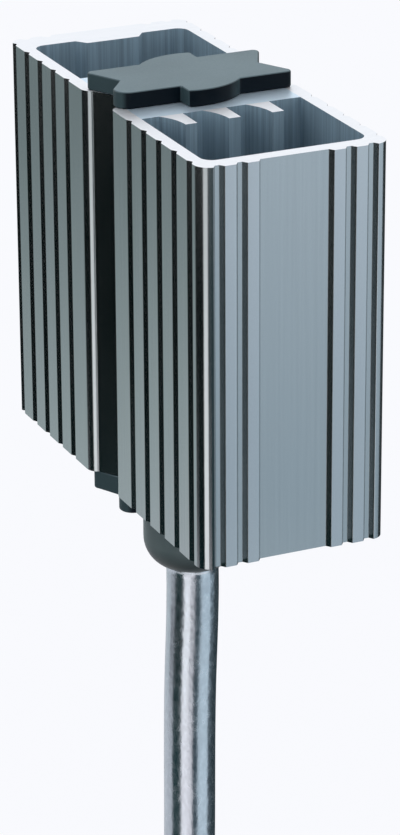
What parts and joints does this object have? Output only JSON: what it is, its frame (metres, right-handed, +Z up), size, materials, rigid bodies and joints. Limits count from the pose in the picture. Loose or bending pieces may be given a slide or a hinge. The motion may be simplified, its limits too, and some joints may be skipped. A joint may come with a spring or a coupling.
{
  "type": "enclosure heater",
  "caption": "Finned aluminium convection heater for an enclosure, with warm-air flues beside a clamped heating element, moulded end caps, a domed gland and a hanging cable.",
  "frame": {"origin": "middle of the rear face, half way between the two tapped holes and half way up the extrusion", "axes": "X across the front face, +Y out of the rear face, +Z up along the flues, away from the cable"},
  "size_m": [0.0254, 0.0612, 0.2377],
  "materials": {
    "extrusion": "extruded, clear anodised, bright sawn ends",
    "cap": "moulded, fine satin grain",
    "tablet": "fired, metallised faces",
    "contact": "stamped sheet",
    "sleeve": "wrapped film",
    "spreader": "sawn plate",
    "tinned": "tinned",
    "live_insulation": "extruded insulation",
    "neutral_insulation": "extruded insulation",
    "earth_insulation": "extruded insulation with a stripe",
    "gland": "moulded, satin",
    "seal": "moulded",
    "sheath": "smooth glossy sheath with a silvery film",
    "tie": "moulded"
  },
  "bodies": {
    "root": {"heater_profile": "extrusion", "top_cap": "cap", "bottom_cap": "cap", "ptc_tablets": "tablet", "front_contact": "contact", "rear_contact": "contact", "insulating_sleeve": "sleeve", "front_spreader": "spreader", "rear_spreader": "spreader", "live_crimp": "tinned", "neutral_crimp": "tinned", "earth_spring": "contact", "live_core": "live_insulation", "neutral_core": "neutral_insulation", "earth_core": "earth_insulation", "cable_gland": "gland", "gland_seal": "seal", "supply_cable": "sheath", "cable_tie": "tie", "live_tail": "live_insulation", "neutral_tail": "neutral_insulation", "earth_tail": "earth_insulation", "live_ferrule": "tinned", "neutral_ferrule": "tinned", "earth_ferrule": "tinned"}
  },
  "joints": []
}
